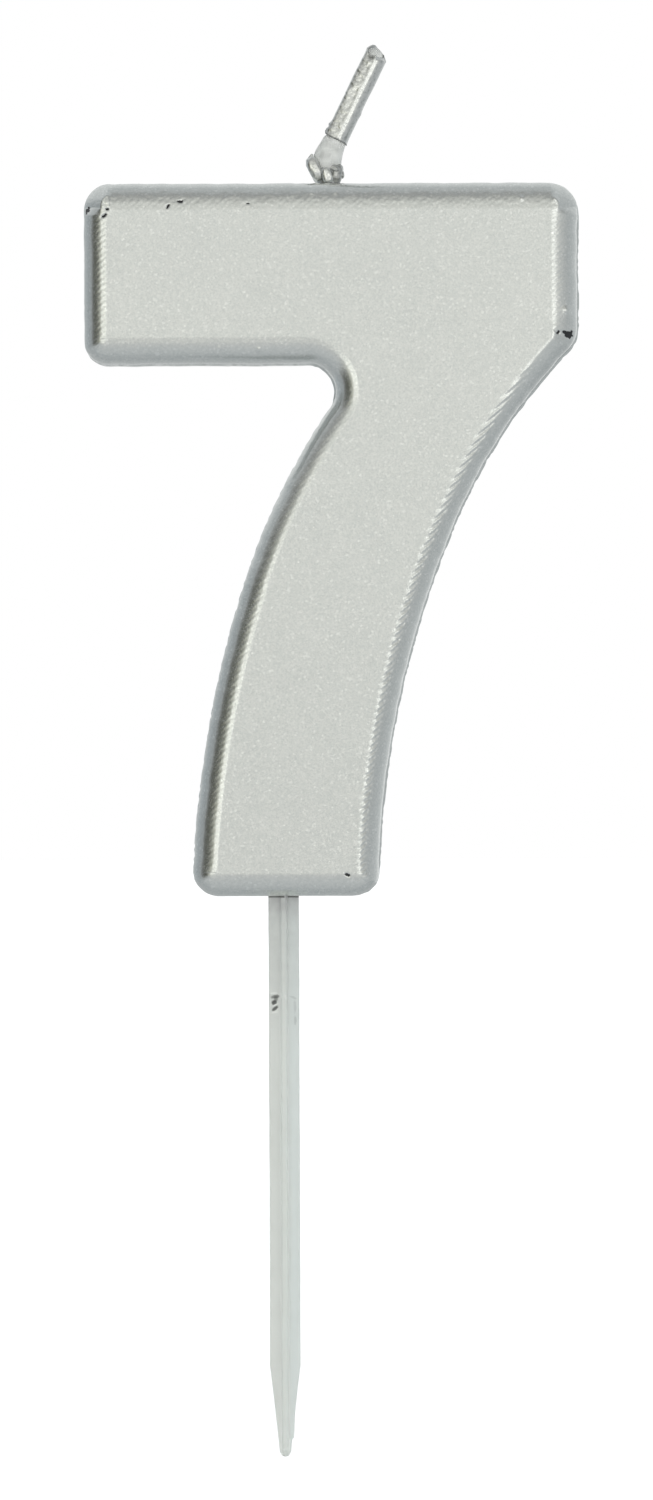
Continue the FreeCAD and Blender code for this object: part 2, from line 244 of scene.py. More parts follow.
def leg_side(lean, low_r, high_r, join_z, base_x, bulge):
    """The low and high arcs of one side of the leg, and the point where they join."""
    low = np.array((base_x + low_r * math.cos(lean), -low_r * math.sin(lean)))
    sine = math.sin(lean) + join_z / low_r
    outward = np.array((-math.sqrt(1 - sine ** 2), sine))
    join = low + outward * low_r
    return Round(low, low_r, bulge), Round(join - outward * high_r, high_r, bulge), join


def numeral_outline():
    """Points, outward directions and edge names all round the numeral, anticlockwise."""
    left, right, top = COAT_LOW[0], COAT_HIGH[0], COAT_HIGH[2]
    underside = top - BAR_DEPTH
    left_low, left_high, left_join = leg_side(*LEFT_SIDE)
    right_low, right_high, right_join = leg_side(*RIGHT_SIDE)
    # Each edge, then the corner that ends it: its name, radius, bulge and rough place.
    runs = [
        ("base", Straight((0, 0), (1, 0)), ("base_right", CORNER_R, 1, (BASE_RIGHT, 0))),
        ("right_low", right_low, right_join),
        ("right_high", right_high, ("hip", HIP_R, 1, (right, underside))),
        ("right", Straight((right, 0), (0, 1)), ("top_right", TOP_RIGHT_R, 1, (right, top))),
        ("top", Straight((0, top), (-1, 0)), ("top_left", TOP_LEFT_R, 1, (left, top))),
        ("left", Straight((left, 0), (0, -1)), ("bar_corner", CORNER_R, 1, (left, underside))),
        ("underside", Straight((0, underside), (1, 0)), ("crook", CROOK_R, -1, (0, underside))),
        ("left_high", left_high, left_join),
        ("left_low", left_low, ("base_left", CORNER_R, 1, (BASE_LEFT, 0))),
    ]
    joints = []
    for i, (_, edge, corner) in enumerate(runs):
        after = runs[(i + 1) % len(runs)][1]
        if not isinstance(corner, tuple):
            joints.append((corner, corner, None, None))
            continue
        name, radius, bulge, near = corner
        pair = [edge.inset(radius * bulge), after.inset(radius * bulge)]
        pair.sort(key=lambda e: isinstance(e, Round))
        hub = cross_straight(*pair, np.array(near, float))
        joints.append((edge.foot(hub), after.foot(hub), name, Round(hub, radius, bulge)))
    points, outward, names = [], [], []
    for i, (name, edge, _) in enumerate(runs):
        pieces = [(name, edge, joints[i - 1][1], joints[i][0])]
        if joints[i][2]:
            pieces.append((joints[i][2], joints[i][3], joints[i][0], joints[i][1]))
        for piece_name, piece, start, end in pieces:
            p, n = piece.sample(start, end)
            points.append(p)
            outward.append(n)
            names += [piece_name] * len(p)
    return np.concatenate(points), np.concatenate(outward), np.array(names)


# ---- the numeral's lacquered surface ----

SHOULDER = 2.2
FACE_Y = (COAT_HIGH[1] - COAT_LOW[1]) / 2
WALL_Y = FACE_Y - SHOULDER
# How each edge of the outline is shaped, in order round the numeral. Most have the usual last three.
# - wider: the shoulder's width past its depth, which in a corner must stay under the corner's radius
# - bead: the strength of the bead of flash where the mould halves meet
# - passes, reach: the strength of the milling marks, and how far out from the face's rim they show
# - strip: where across the shoulder its nearly flat strip along the face starts
# - crease: how steep, in degrees, the rolled part is where it meets the strip
USUAL = (1.25, 0.79, 12.0)
EDGES = {
    # wider, bead, passes, reach, strip, crease
    "base": (0.0, 0.0, 0.06, 1.25, 0.985, 13.0),
    "base_right": (0.0, 0.3, 0.2, *USUAL),
    "right_low": (0.05, 0.65, 1.1, 0.8, 0.89, 27.0),
    "right_high": (-0.05, 0.7, 1.1, 0.8, 0.89, 27.0),
    "hip": (0.5, 0.75, 0.0, 1.25, 0.9, 24.0),
    "right": (0.62, 0.9, 0.5, 1.25, 0.86, 14.0),
    "top_right": (0.6, 0.35, 0.0, *USUAL),
    "top": (0.6, 0.12, 0.3, *USUAL),
    "top_left": (0.24, 0.1, 0.0, *USUAL),
    "left": (0.14, 0.18, 0.38, *USUAL),
    "bar_corner": (0.0, 0.12, 0.15, *USUAL),
    "underside": (0.25, 0.2, 0.15, *USUAL),
    "crook": (0.2, 0.5, 0.2, *USUAL),
    "left_high": (0.15, 0.3, 0.12, 1.25, 0.83, 16.0),
    "left_low": (0.25, 0.28, 0.25, 1.25, 0.83, 15.0),
    "base_left": (0.0, 0.15, 0.1, *USUAL),
}
# Over what distance each of those columns eases from edge to edge.
EDGE_EASES = (0.45, 1.2, 1.5, 1.0, 1.0, 1.0)
STRIP_SLOPE = 0.12
BEAD_HEIGHT, BEAD_HALF = 0.3, 0.13
# The wall under the shoulder leans a little and wanders in and out, but less along the base.
WALL_DRAFT, WALL_IN, BASE_CALM = 0.03, 0.05, 0.6
# The mould's shallow slopes were milled in straight passes that climb to the right.
PASS_ANGLE, PASS_PITCH = math.radians(39.0), 0.46
# Rows of points up the wall, then up the shoulder's steep start, given by its turn in degrees, then
# close together to a little past its rim.
WALL_ROWS = (0.0, 0.05, 0.1, 0.15, 0.21, 0.3, 0.6, 1.4)
STEEP_TURN, STEEP_ROWS, FINE_ROWS, RIM_PAST = 48, 6, 16, 0.05
# Rows over the face that follow the rim: how far past it, and the stride between their points.
FACE_ROWS = ((0.15, 1), (0.25, 1), (0.36, 1), (0.5, 2), (0.7, 3), (1.0, 4), (1.4, 6))
FACE_GRID = 0.8
# The top corners of the bar are cut to a cone: how far down and in from the corner it reaches, where
# across the shoulder it ends at the side and at the top, and how it bulges.
CONE_DOWN, CONE_ACROSS = 2.9, 2.45
CONE_CAP_SIDE, CONE_CAP_TOP, CONE_BULGE = 0.76, 0.55, 0.75
# The top shoulder is a little dappled, from these two distances below the top.
DAPPLED_FROM, DAPPLED_FULLY, DAPPLE_HEIGHT = 2.9, 2.2, 0.02
CHIP_DEEP = 0.09

# Spots where the lacquer has come off the front: x, z, half length, half width, turn in degrees.
CHIPS = (
    (28.12, 54.9, 0.42, 0.38, 0), (27.72, 55.1, 0.3, 0.18, -20), (28.32, 55.2, 0.16, 0.2, 0),
    (27.0, 55.05, 0.26, 0.12, 50),
    (-18.97, 67.2, 0.44, 0.17, 67), (-16.97, 67.22, 0.17, 0.12, 0), (-17.29, 66.6, 0.32, 0.12, 28),
    (-11.05, 67.49, 0.3, 0.11, 62), (-9.88, 67.95, 0.28, 0.1, -12), (-9.7, 68.02, 0.16, 0.1, 30),
    (-3.2, 67.8, 0.2, 0.07, 0), (6.3, 2.12, 0.3, 0.16, -8),
)
# Small raised nibs and shallow dents: x, z, radius, height.
NIBS = (
    (-2.2, 53.5, 0.2, 0.13), (-6.1, 53.6, 0.16, 0.1), (28.0, 57.25, 0.36, 0.22),
    (-16.98, 67.95, 0.22, 0.04), (26.75, 68.1, 0.25, 0.045),
    (3.0, 68.8, 0.22, 0.1), (5.3, 68.9, 0.18, 0.1), (5.9, 68.2, 0.2, 0.07), (1.1, 68.6, 0.15, 0.05),
    (23.5, 68.2, 0.2, 0.1), (3.6, 37.7, 0.26, -0.09),
    (11.4, 32.2, 0.22, -0.09), (-14.1, 60.0, 0.2, 0.04), (16.4, 60.8, 0.25, 0.04),
    (20.1, 56.1, 0.2, 0.05), (-12.7, 62.5, 0.3, -0.03), (9.5, 63.0, 0.25, -0.03),
)


def smoothed(values, width):
    """A running mean round the closed outline."""
    count = max(1, int(width / SPACING))
    padded = np.concatenate([values[-count:], values, values[:count]])
    return np.convolve(padded, np.ones(2 * count + 1) / (2 * count + 1), mode="valid")


def pass_shift(place, outward, strength, mirror):
    """How far a milling pass carries its level sideways, in mm towards the inside."""
    v_axis = np.array((-math.sin(PASS_ANGLE) * mirror, math.cos(PASS_ANGLE)))
    v = place @ v_axis
    strip = np.floor(v / PASS_PITCH)
    offset = v - (strip + 0.5) * PASS_PITCH
    share = strength * (0.7 + 0.6 * chance(strip, 3))
    across = -(outward @ v_axis)
    crossing = np.abs(outward[:, 0] * v_axis[1] - outward[:, 1] * v_axis[0])
    return share * offset * across * fade(0.15, 0.32, crossing)


def along_edges(names, column, ease):
    """A column of the table of edges at each outline point, eased from edge to edge."""
    return smoothed(np.array([EDGES[name][column] for name in names]), ease)


def rolled(share, crease):
    """A quarter round from 0 to 1, cut short where it still climbs at the crease's angle."""
    steepness = 1.0 - np.clip(share, 0.0, 1.0) * (1.0 - np.sin(crease))
    return np.sqrt(1.0 - steepness ** 2) / np.cos(crease)


def shoulder_level(depth_in, wall_in, width, strip, crease, cone, cap):
    """How far forward the surface stands at a distance in from the outline."""
    inward = 1.0 - np.clip((width - depth_in) / (width - wall_in), 0.0, 1.0)
    flat = 1.0 - STRIP_SLOPE * (1.0 - np.maximum(inward, strip)) * width / SHOULDER
    usual = flat * rolled(inward / strip, crease)
    cut = 1.0 - STRIP_SLOPE * (1.0 - np.maximum(inward, cap))
    cut = cut * (np.minimum(inward, cap) / cap) ** CONE_BULGE
    return WALL_Y + SHOULDER * blend(usual, cut, cone)


def spots(x, z):
    """0 to 1 where the lacquer is off, and the height that nibs add."""
    bare = np.zeros_like(x)
    for cx, cz, half_long, half_wide, turn in CHIPS:
        c, s = cosine_and_sine(turn)
        u = ((x - cx) * c + (z - cz) * s) / half_long
        w = ((z - cz) * c - (x - cx) * s) / half_wide
        ragged = 0.22 * dapple(x / 0.22, z / 0.22, 5)
        bare = np.maximum(bare, 1.0 - fade(0.75, 1.15, np.hypot(u, w) + ragged))
    raised = np.zeros_like(x)
    for cx, cz, radius, height in NIBS:
        raised += height * np.exp(-((x - cx) ** 2 + (z - cz) ** 2) / radius ** 2)
    return bare, raised


def marked(points, levels, side):
    """The levels with the front's nibs, dapples and flaked spots, and where the lacquer is off."""
    bare, raised = spots(points[:, 0], points[:, 1])
    high = fade(COAT_HIGH[2] - DAPPLED_FROM, COAT_HIGH[2] - DAPPLED_FULLY, points[:, 1])
    raised = raised + DAPPLE_HEIGHT * high * dapple(points[:, 0] / 0.3, points[:, 1] / 0.22, 9)
    ahead = fade(WALL_Y * 0.9, WALL_Y * 1.2, levels) * (side < 0)
    bare = bare * ahead
    return levels + raised * ahead - CHIP_DEEP * bare, bare


def flash_line(names, bead):
    """How far in from the outline the wall lies, and how far in the crest of its bead of flash."""
    along = np.arange(len(names)) * SPACING
    lively = 1 - BASE_CALM * smoothed((names == "base").astype(float), 0.6)
    wave = WALL_IN + 0.03 * ripple(along / 1.3, 1) + 0.02 * ripple(along / 0.6, 2)
    crest = wave * 0.7 + 0.05 * bead * ripple(along / 0.9, 7) + 0.04 * ripple(along / 0.33, 8)
    return (BEAD_HEIGHT * bead + wave) * lively, np.maximum(crest, 0.0) * lively


def cone_cut(outline, outward):
    """How fully each outline point's shoulder is cut to the cone, and where across it that ends."""
    to_side = np.minimum(outline[:, 0] - COAT_LOW[0], COAT_HIGH[0] - outline[:, 0])
    cone = (COAT_HIGH[2] - outline[:, 1] < CONE_DOWN) & (to_side < CONE_ACROSS)
    cap = blend(CONE_CAP_SIDE, CONE_CAP_TOP, np.maximum(outward[:, 1], 0.0) ** 2)
    return smoothed(cone.astype(float), 0.4), cap


def coat_half(name, side, material):
    """One mould half of the lacquered numeral. side is -1 for the front and 1 for the back."""
    outline, outward, names = numeral_outline()
    count = len(outline)
    wider, bead, milled, reach, strip, crease = (
        along_edges(names, column, ease) for column, ease in enumerate(EDGE_EASES))
    width = SHOULDER + wider
    wall_in, crest_in = flash_line(names, bead)
    cone, cap = cone_cut(outline, outward)
    shape = np.stack([wall_in, width, strip, np.radians(crease), cone, cap])

    rings, levels = [], []

    def add_ring(depth_in, level):
        rings.append(outline - outward * depth_in[:, None])
        levels.append(np.broadcast_to(level, count))

    def milled_level(place, depth_in, near):
        share = fade(0.0, 0.3, (depth_in - width[near]) / reach[near] + 1.0)
        strength = milled[near] * share * (1 - cone[near])
        shift = pass_shift(place, outward[near], strength, -side)
        return shoulder_level(depth_in - shift, *shape[:, near])

    for y in WALL_ROWS:
        draft = WALL_DRAFT * (y / WALL_Y - 1)
        add_ring(np.maximum(blend(wall_in + draft, crest_in, hump(y, 0.0, BEAD_HALF)), 0.0), y)
    for turn in np.radians(np.linspace(0, STEEP_TURN, STEEP_ROWS)):
        depth_in = wall_in + (width - wall_in) * (1 - math.cos(turn))
        add_ring(depth_in, shoulder_level(depth_in, *shape))
    fine_start = depth_in
    for step in np.linspace(0, 1, FINE_ROWS)[1:]:
        depth_in = blend(fine_start, width + RIM_PAST, step)
        place = outline - outward * depth_in[:, None]
        add_ring(depth_in, milled_level(place, depth_in, np.arange(count)))

    rim = (len(rings) - 1) * count
    inner, inner_faces = fill_face(outline, outward, width, rings[-1])
    depth_in, near = nearest_edge(inner, outline, outward)
    levels = np.concatenate(levels + [milled_level(inner, depth_in, near)])
    faces = ring_faces(len(rings), count)
    faces += [tuple(rim + i for i in face) for face in inner_faces]
    faces.append(tuple(range(count)))
    points = np.concatenate(rings + [inner])
    levels, bare = marked(points, levels, side)
    coords = np.stack([points[:, 0], levels * side, points[:, 1]], axis=1)
    if side > 0:
        faces = turned_over(faces)
    piece = make_piece(name, coords, faces, material, "silver_lacquer", "silver_coat")
    paint(piece, "bare", bare)
    sharpen_rim(piece, count)


def sharpen_rim(piece, count):
    """Keeps the hidden cap at the parting plane from bending the wall's shading."""
    mesh = piece.data
    sharp = mesh.attributes.new("sharp_edge", "BOOLEAN", "EDGE")
    pairs = np.empty(len(mesh.edges) * 2, np.int32)
    mesh.edges.foreach_get("vertices", pairs)
    sharp.data.foreach_set("value", (pairs.reshape(-1, 2) < count).all(axis=1))


def nearest_edge(points, outline, outward):
    """For each point, its distance in from the outline and the index of the nearest outline point."""
    index = np.empty(len(points), int)
    for start in range(0, len(points), 2000):
        gap = points[start:start + 2000, None, :] - outline[None, :, :]
        index[start:start + 2000] = np.argmin(np.sum(gap ** 2, axis=2), axis=1)
    gap = points - outline[index]
    inward = np.sum(gap * outward[index], axis=1) < 0
    return np.linalg.norm(gap, axis=1) * np.where(inward, 1.0, -1.0), index


def fill_face(outline, outward, width, rim):
    """Points over the flat face inside its rim, and the triangles between them.

    Rows of points follow the rim, wider apart further in, and an even grid covers the middle.
    """
    inner = []
    for past, stride in FACE_ROWS:
        depth_in = (width + past)[::stride]
        row = outline[::stride] - outward[::stride] * depth_in[:, None]
        inner.append(row[nearest_edge(row, outline, outward)[0] > depth_in - 0.02])
    low, high = rim.min(axis=0), rim.max(axis=0)
    x, z = np.meshgrid(*(np.arange(low[i], high[i], FACE_GRID) for i in (0, 1)))
    x = x + FACE_GRID / 2 * (np.arange(len(x)) % 2)[:, None]
    grid = np.stack([x.ravel(), z.ravel()], axis=1)
    depth_in, near = nearest_edge(grid, outline, outward)
    inner.append(grid[depth_in > width[near] + FACE_ROWS[-1][0] + FACE_GRID / 2])
    inner = np.concatenate(inner)
    everything = np.concatenate([rim, inner])
    edges = [(i, (i + 1) % len(rim)) for i in range(len(rim))]
    result = geometry.delaunay_2d_cdt([tuple(p) for p in everything], edges, [], 1, 1e-6)
    if len(result[0]) != len(everything):
        raise RuntimeError("the face's rim crosses itself")
    order = [source[0] for source in result[3]]
    return inner, [tuple(order[i] for i in f) for f in result[2]]


# How far the core keeps inside the outline and behind the lacquer, at its faces and at its walls.
CORE_FACE_IN, CORE_FACE_UNDER, CORE_WALL_IN, CORE_WALL_UNDER = 2.3, 0.45, 0.5, 0.1


def wax_core(material):
    """The wax under the lacquer, kept clear of it: a chamfered body with hidden flat faces."""
    outline, outward, _ = numeral_outline()
    face, wall = (CORE_FACE_IN, FACE_Y - CORE_FACE_UNDER), (CORE_WALL_IN, WALL_Y - CORE_WALL_UNDER)
    rings = []
    for depth_in, y in (face, wall, (wall[0], -wall[1]), (face[0], -face[1])):
        flat = outline - outward * depth_in
        rings.append(np.stack([flat[:, 0], np.full(len(flat), y), flat[:, 1]], axis=1))
    make_piece("core", *closed_tube(rings), material, "wax", "wax_core")


# ---- the pick ----

WEB_HALF, RIB_HALF = 0.375, 0.29
PICK_HALF_X = (PICK_HIGH[0] - PICK_LOW[0]) / 2
PICK_HALF_Y = (PICK_HIGH[1] - PICK_LOW[1]) / 2
TIP_Z, TANG_Z = PICK_LOW[2], PICK_HIGH[2]
# The photo shows the pick a little wider than it is in CAD.
WIDER = 0.07
TAPER, TIP_R = 9.0, 0.45
# The share of the pick's width that is left at some shares of the way down the taper.
TAPER_SHARES = ((0.0, 0.5, 0.8, 1.0), (1.0, 0.65, 0.46, 0.35))
SLIMMER = 0.12
# A spur of flash on the right, given by where on the taper it grows and ends and how far out it goes.
SPUR_FROM, SPUR_TO, SPUR_OUT = 0.5, 0.79, 0.15
FILLET, FILLET_STEPS = 0.15, 5
NOTCH_FIRST, NOTCH_PITCH, NOTCH_TALL, NOTCH_DEEP, NOTCHES = 4.5, 4.0, 1.2, 0.3, 3
END_CHAMFER = 0.12
# Where the pick's rows of points are: beside each edge of a notch, under the tang, and so on down.
BESIDE_EDGE, ROWS_ABOVE_BASE = 0.02, (2.0, 0.5)
SHANK_STEP, TAPER_STEP = 0.5, 0.12
TIP_TURNS = np.radians(np.linspace(8, 84, 9))


def rounded(corners, radius):
    """A closed outline with each corner eased, and the same count of points whatever its size."""
    corners = np.asarray(corners, float)
    points = []
    for i, corner in enumerate(corners):
        before, after = corners[i - 1] - corner, corners[(i + 1) % len(corners)] - corner
        ends = []
        for edge in (before, after):
            length = max(np.linalg.norm(edge), 1e-9)
            ends.append(corner + edge / length * min(radius, length * 0.45))
        for t in np.linspace(0, 1, FILLET_STEPS):
            points.append(ends[0] * (1 - t) ** 2 + corner * 2 * t * (1 - t) + ends[1] * t ** 2)
    return np.array(points)


def pick_section(half_x, half_y, slim):
    """The pick's cross-shaped section: a broad web with a narrower rib through it."""
    web, rib = WEB_HALF * slim, RIB_HALF * slim
    x, y = max(half_x, rib * 1.05), max(half_y, web * 1.05)
    return rounded([(x, -web), (x, web), (rib, web), (rib, y), (-rib, y), (-rib, web), (-x, web),
                    (-x, -web), (-rib, -web), (-rib, -y), (rib, -y), (rib, -web)], FILLET * slim)


def pick_piece(material):
    """The pick, from its notched tang in the wax down to its rounded tip."""
    tang = [TANG_Z, TANG_Z - 0.15]
    for i in reversed(range(NOTCHES)):
        low = NOTCH_FIRST + i * NOTCH_PITCH
        for edge in (low + NOTCH_TALL, low):
            tang += [edge + BESIDE_EDGE, edge - BESIDE_EDGE]
    shank = np.arange(0.0, TIP_Z + TAPER, -SHANK_STEP)
    taper = np.arange(TIP_Z + TAPER, TIP_Z + TIP_R, -TAPER_STEP)
    end = TIP_Z + TIP_R * (1 - np.sin(TIP_TURNS))
    rings = []
    for z in np.concatenate([tang, ROWS_ABOVE_BASE, shank, taper, end]):
        down = np.clip((TIP_Z + TAPER - z) / TAPER, 0.0, 1.0)
        share = np.interp(down, *TAPER_SHARES)
        slim = 1.0 - SLIMMER * down
        if z < TIP_Z + TIP_R:
            slim *= math.sqrt(max(1 - ((TIP_Z + TIP_R - z) / TIP_R) ** 2, 0.0))
            share *= slim
        half_x = (PICK_HALF_X + WIDER) * share + 0.012 * float(ripple(z / 1.7, 21)) * (down < 1)
        half_y = PICK_HALF_Y * share
        above = z - NOTCH_FIRST
        if above > 0 and above % NOTCH_PITCH < NOTCH_TALL and above < NOTCHES * NOTCH_PITCH:
            half_x -= NOTCH_DEEP
        if z == TANG_Z:
            half_x, half_y = half_x - END_CHAMFER, half_y - END_CHAMFER
        flat = pick_section(half_x, half_y, slim)
        spur = SPUR_OUT * band(SPUR_FROM, SPUR_TO, SPUR_TO, SPUR_TO + 0.02, down)
        flat[:, 0] += spur * (flat[:, 0] > RIB_HALF)
        sway = 0.02 * float(ripple(z / 9.0, 22))
        rings.append(np.stack([flat[:, 0] + sway, flat[:, 1], np.full(len(flat), z)], axis=1))
    make_piece("pick_body", *closed_tube(rings), material, "pick_plastic", "pick")


# ---- the wick ----

WICK_X, WICK_SLOPE = 4.6, math.tan(math.radians(24.5))
CUT_X, CUT_Z = 9.32, 82.95
# The wick's middle, as heights and how far right it is there, below where its straight lean starts.
WICK_BENDS = ((50.0, WICK_X), (68.5, WICK_X), (70.0, 4.7), (71.4, 4.45), (72.6, 4.6), (73.9, 5.1))
LEAN_Z, PATH_TOP_Z = 75.0, 100.0
FINE_STEP, SMOOTH_HALF, SMOOTH_TIMES = 0.05, 8, 3
SLEEVE_LONG = 9.4
TO_FRONT = np.array((0.0, -1.0, 0.0))


def wick_path(start_z, end_z, spacing):
    """Points up the wick: a kink to the left in the root, then a straight lean to the cut end."""
    knots = [*WICK_BENDS, *((z, CUT_X - (CUT_Z - z) * WICK_SLOPE) for z in (LEAN_Z, PATH_TOP_Z))]
    z = np.arange(start_z, end_z + spacing / 2, spacing)
    fine_z = np.arange(WICK_BENDS[0][0], PATH_TOP_Z, FINE_STEP)
    fine_x = np.interp(fine_z, *zip(*knots))
    window = 2 * SMOOTH_HALF + 1
    for _ in range(SMOOTH_TIMES):
        mean = np.convolve(fine_x, np.ones(window) / window, mode="valid")
        fine_x[SMOOTH_HALF:-SMOOTH_HALF] = mean
    return np.stack([np.interp(z, fine_z, fine_x), np.zeros(len(z)), z], axis=1)


def frames(path):
    """The sideways directions in the picture plane and the forward directions along a path."""
    along = np.gradient(path, axis=0)
    along /= np.linalg.norm(along, axis=1)[:, None]
    return np.stack([along[:, 2], np.zeros(len(path)), -along[:, 0]], axis=1), along


def spokes(across, angle):
    """Directions round the wick. Angle 0 is the right, a quarter turn on is the front."""
    return across[..., None, :] * np.cos(angle)[:, None] + TO_FRONT * np.sin(angle)[:, None]


def round_angles(turns):
    return np.arange(turns) * math.tau / turns


def tube(path, radius, turns):
    """Rings of points round a path."""
    side, _ = frames(path)
    radius = np.broadcast_to(radius, (len(path), turns))
    return path[:, None, :] + spokes(side, round_angles(turns)) * radius[:, :, None]


# The strands of the braid: how many, their radius, how far out they lie and how long a turn is.
STRANDS, STRAND_R, STRAND_OUT, LAY, STRAND_TURNS = 3, 0.33, 0.34, 3.2, 12
BRAID_SUNK = 0.7


def braid_piece(material):
    """Three cotton strands laid round each other up the whole wick."""
    path = wick_path(BRAID_LOW_Z, CUT_Z - BRAID_SUNK, 0.2)
    side, _ = frames(path)
    lift = path[:, 2] - BRAID_LOW_Z
    unlike = np.arange(STRAND_TURNS)[None, :] * 7.3
    strands = []
    for strand in range(STRANDS):
        turn = lift / LAY * math.tau + strand * math.tau / STRANDS
        centre = path + side * (STRAND_OUT * np.cos(turn))[:, None]
        centre[:, 1] += STRAND_OUT * np.sin(turn)
        fuzz = STRAND_R + 0.02 * ripple(lift[:, None] / 0.4 + unlike, 31 + strand)
        strands.append(closed_tube(tube(centre, fuzz, STRAND_TURNS)))
    make_piece("braid", *joined(strands), material, "cotton", "wick_braid")


# The clear wax's radius at heights up the wick.
CUFF = ((69.0, 1.0), (71.3, 1.2), (72.3, 1.45), (73.2, 1.32), (74.25, 1.14), (74.5, 1.02), (74.7, 0.92),
        (CUT_Z - 0.2, 0.87), (CUT_Z + 0.1, 0.75), (CUT_Z + 0.25, 0.6), (CUT_Z + 0.35, 0.3))
CUFF_TURNS = 48


def cuff_piece(material):
    """The clear wax on the wick, thickest where it shows between the root and the sleeve."""
    path = wick_path(CUFF[0][0], CUFF[-1][0], 0.08)
    z = path[:, 2][:, None]
    angle = round_angles(CUFF_TURNS)[None, :]
    flare = np.interp(z, *zip(*CUFF))
    shown = band(71.0, 72.2, 74.1, 74.5, z)
    fold = 0.045 * np.cos(3 * angle + 0.9 * z) + 0.03 * np.cos(5 * angle - 1.7 * z + 1.0)
    lumps = 0.04 * dapple(angle / 0.9, z / 0.8, 41) * np.abs(np.sin(angle / 2)) ** 0.5
    skin = closed_tube(tube(path, flare + shown * (fold + lumps), CUFF_TURNS))
    make_piece("wax_cuff", *skin, material, "wick_wax", "wick_wax_jacket")


SLEEVE_TURNS, SLEEVE_STEPS = 96, 170
SLEEVE_BORE, FOIL_THICK = 0.95, 0.08
# Places round the sleeve: their angle, and half the angle that they take up.
NOTCHED, PEAKED, TORN, LOOSE, KINKED = (2.1, 0.45), (4.1, 0.55), (3.2, 0.45), (2.95, 0.4), (0.0, 0.5)
# Where painted shade falls on the sleeve: down its left flank, beside the loose flap, and at its mouth's
# front left.
SHADED_FLANK, SHADED_FLAP, SHADED_MOUTH = (3.05, 0.15), (2.8, 0.35), (1.9, 0.32)
# The sleeve is round but for a flat in front and a front left that is pressed to a soft corner. A flat
# is given by how far out it lies and the angle that it faces.
ROUND_R, FRONT_FLAT = 1.13, (1.095, 1.44)
PRESSED_FLATS, PRESSED_MOST, SQUARENESS = ((1.07, 1.76), (1.12, math.pi)), 1.42, 9


def flat_side(distance, facing, angle):
    """How far out a flat lies at each angle round the wick."""
    return distance / np.maximum(np.cos(angle - facing), 0.2)


def sleeve_section(angle):
    """The sleeve's radius round it, before its pits and dents."""
    round_side = np.minimum(ROUND_R, flat_side(*FRONT_FLAT, angle))
    flats = (np.minimum(flat_side(*flat, angle), 4.0) for flat in PRESSED_FLATS)
    corner = sum(flat ** -SQUARENESS for flat in flats) ** (-1 / SQUARENESS)
    pressed = band(1.35, 1.6, 2.9, 3.3, angle)
    return blend(round_side, np.minimum(corner, PRESSED_MOST), pressed)


def sleeve_ends(angle):
    """How far the bottom and the top stand beyond a square cut, round the sleeve."""
    top = 0.1 - 0.06 * np.cos(angle) - 0.42 * np.sin(angle)
    top = top - 0.25 * hump(angle, *NOTCHED) + 0.3 * hump(angle, *PEAKED)
    top = top + 0.07 * ripple(angle * 2.5, 51)
    torn = 0.5 * hump(angle, *TORN) * (1 + 0.3 * ripple(angle * 6.0, 58))
    return torn + 0.05 * ripple(angle * 3.0, 52), top


def sleeve_painted_shade(angle, height, lifted, gap):
    """Painted shade on the sleeve, outside and then inside. lifted and gap are the distances from its
    ends.
    """
    right = np.cos(angle)
    # Painted shade along the bottom edge, down the left flank, over the right half and along the right
    # edge, beside the loose flap and at the mouth's front left; inside, more on the left.
    hem = 0.8 * hump(lifted, 0.04, 0.1)
    flank = 0.5 * hump(angle, *SHADED_FLANK) + 0.16 * fade(0.3, 0.8, right)
    flank = flank + 0.3 * hump(np.sin(angle), 0.0, 0.2) * (right > 0)
    flap = 0.6 * hump(angle, *SHADED_FLAP) * (1 - fade(1.0, 2.1, height))
    mouth = 0.95 * hump(angle, *SHADED_MOUTH) * hump(gap, 0.2, 0.2)
    outside = np.maximum(np.maximum(hem, flank), np.maximum(flap, mouth))
    inside = np.broadcast_to(0.03 + 0.4 * fade(0.3, 0.8, -right), height.shape)
    return np.concatenate([outside, inside]).ravel()


